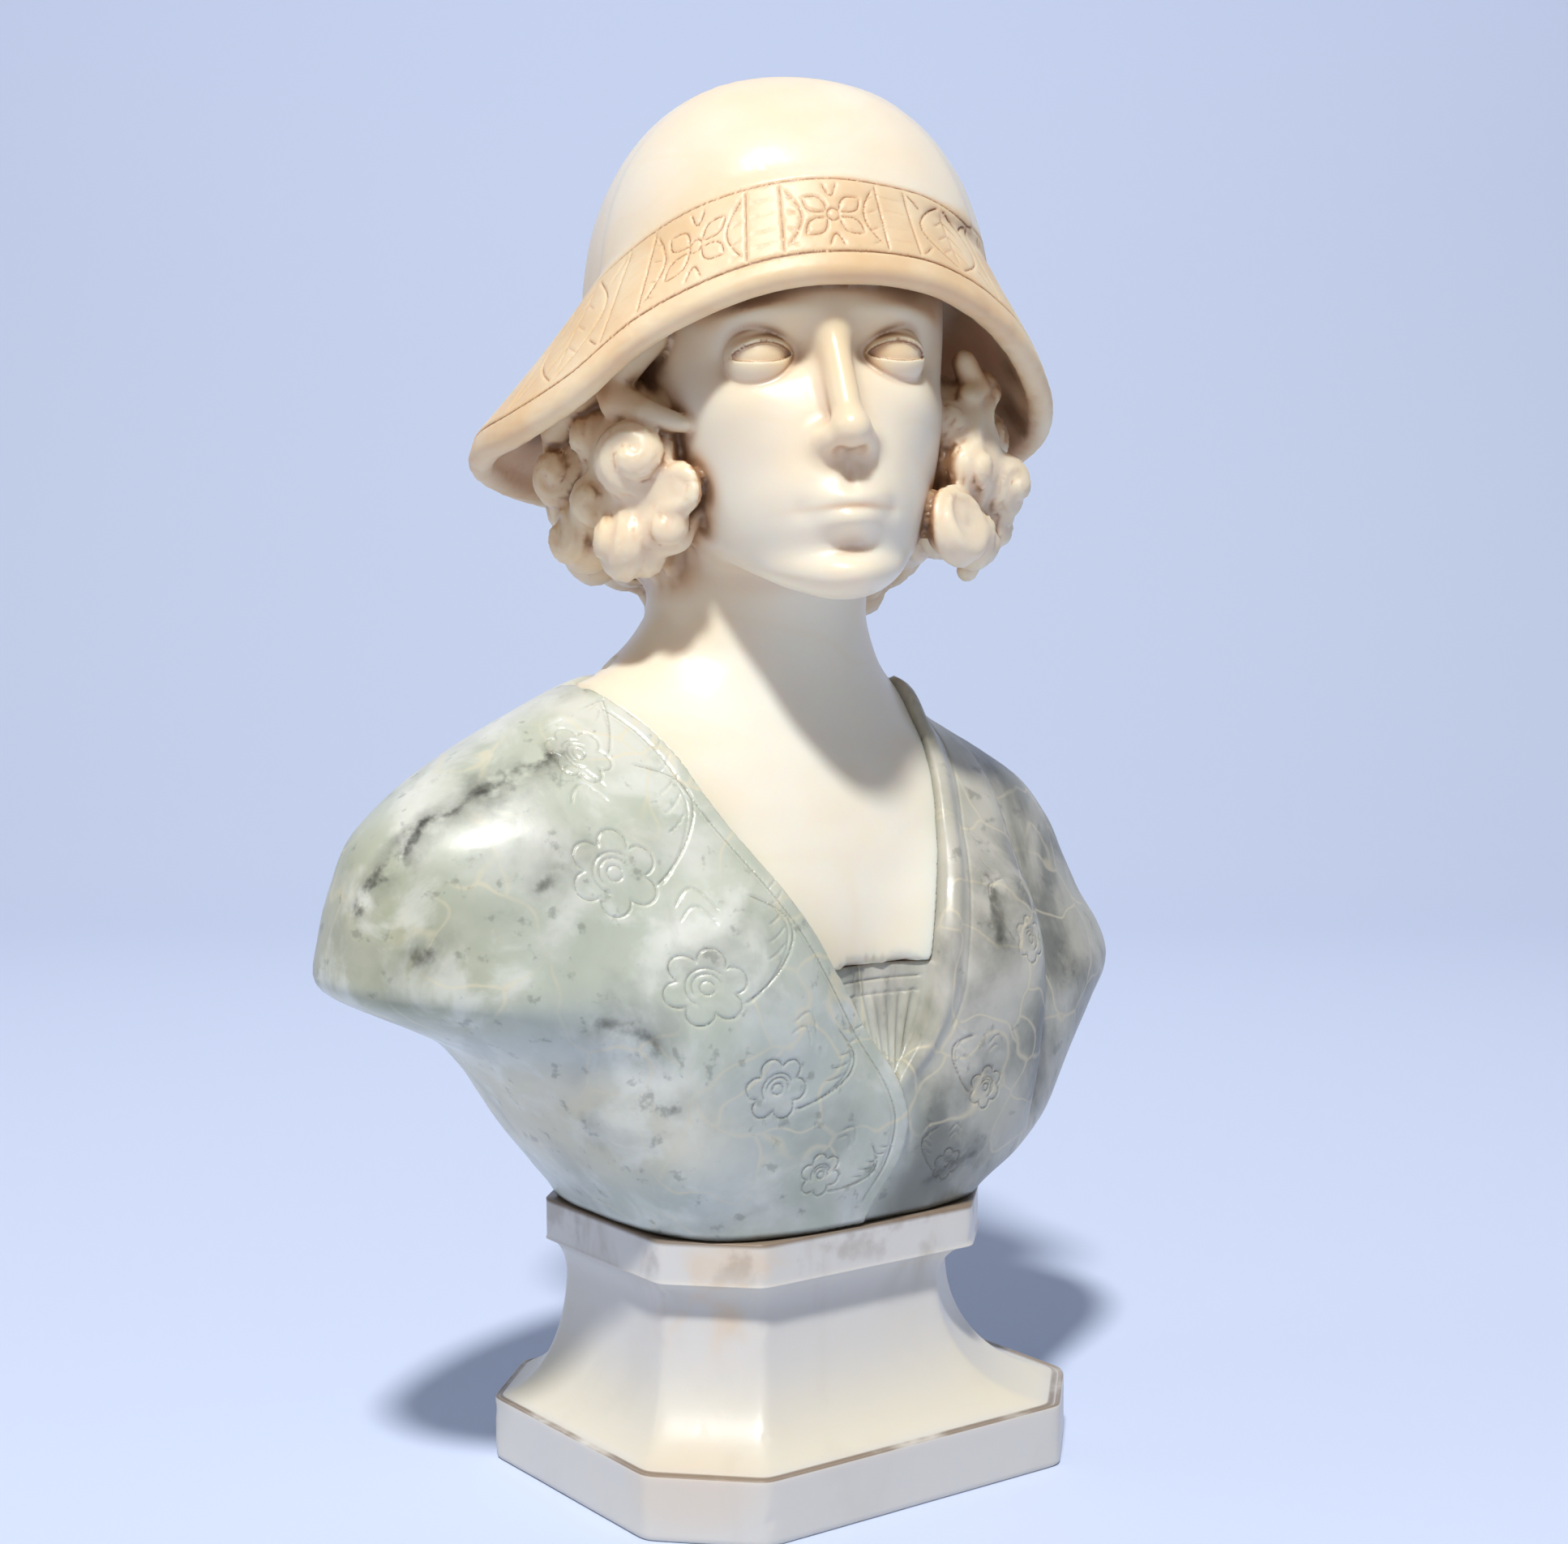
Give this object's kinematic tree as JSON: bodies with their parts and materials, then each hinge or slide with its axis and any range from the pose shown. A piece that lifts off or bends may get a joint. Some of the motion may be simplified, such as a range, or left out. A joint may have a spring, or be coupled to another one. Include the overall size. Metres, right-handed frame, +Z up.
{
  "type": "portrait bust",
  "caption": "Carved stone bust of a woman in a brimmed cap and crossed wrap, standing on a plinth with cut corners and hollow sides.",
  "frame": {"origin": "centre of the plinth slab's underside", "axes": "+Z up along the height, -Y towards the front of the figure's chest, -X towards the figure's right arm"},
  "size_m": [0.3083, 0.1789, 0.4619],
  "materials": {
    "head_stone": "polished cream alabaster, soft gloss",
    "torso_stone": "polished grey-green veined alabaster, soft gloss",
    "plinth_stone": "polished white marble, soft gloss"
  },
  "bodies": {
    "root": {"head": "head_stone", "torso": "torso_stone", "plinth": "plinth_stone"}
  },
  "joints": []
}
